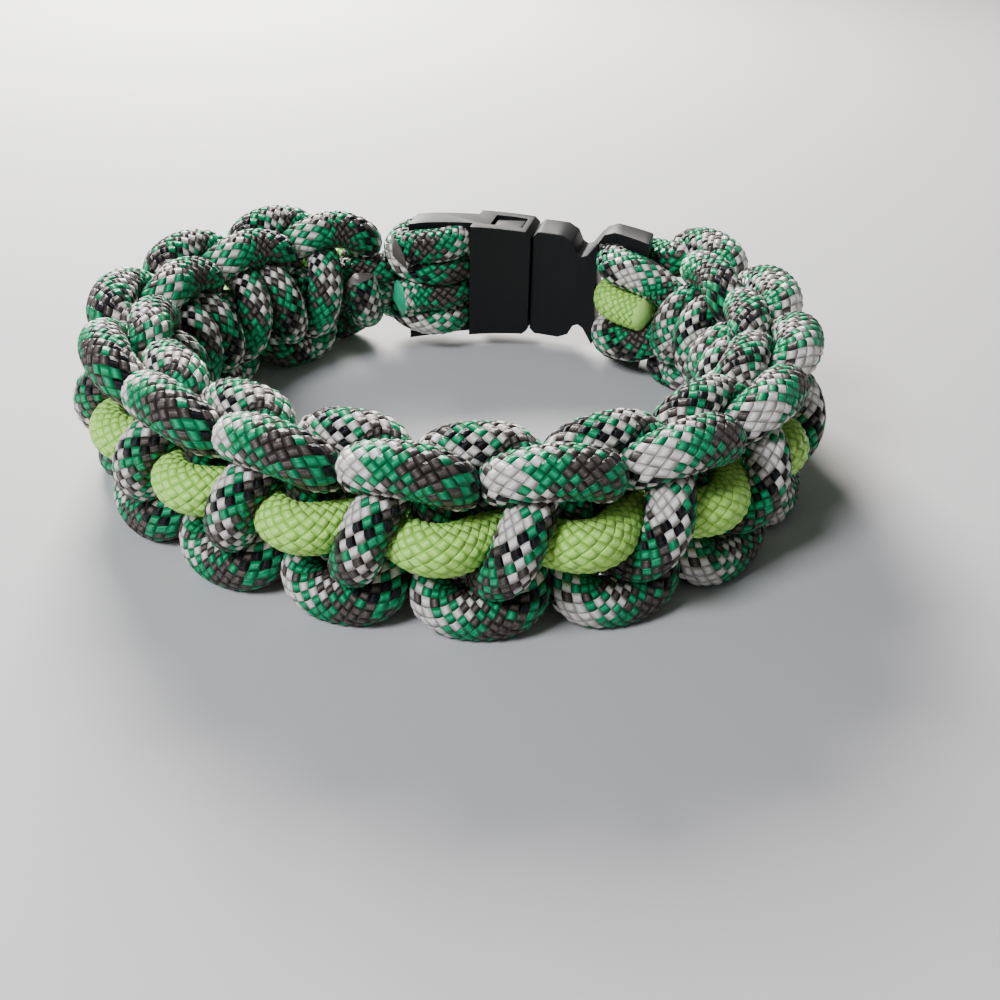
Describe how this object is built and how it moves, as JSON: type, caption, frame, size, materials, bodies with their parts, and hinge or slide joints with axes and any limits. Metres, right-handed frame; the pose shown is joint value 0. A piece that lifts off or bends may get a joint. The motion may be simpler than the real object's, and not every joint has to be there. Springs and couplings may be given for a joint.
{
  "type": "paracord bracelet",
  "caption": "Closed paracord bracelet: a knotted band of camouflage cord over a bright green centre line, joined by a small bowed black side-release buckle.",
  "frame": {"origin": "centre of the bracelet's box at the surface that its lowest loops rest on", "axes": "+Z along the ring's axis, the bracelet lying on its side; the buckle is at +Y; the socket is on the -X side of it"},
  "size_m": [0.0704, 0.0614, 0.0165],
  "materials": {
    "camouflage_cord": "braided nylon in off-white, taupe, emerald and black yarns",
    "green_cord": "braided nylon, bright yellow-green",
    "black_plastic": "moulded black acetal, satin"
  },
  "bodies": {
    "root": {"cord_front": "camouflage_cord", "cord_back": "camouflage_cord", "centre_line": "green_cord", "buckle_socket": "black_plastic", "buckle_prongs": "black_plastic"}
  },
  "joints": []
}
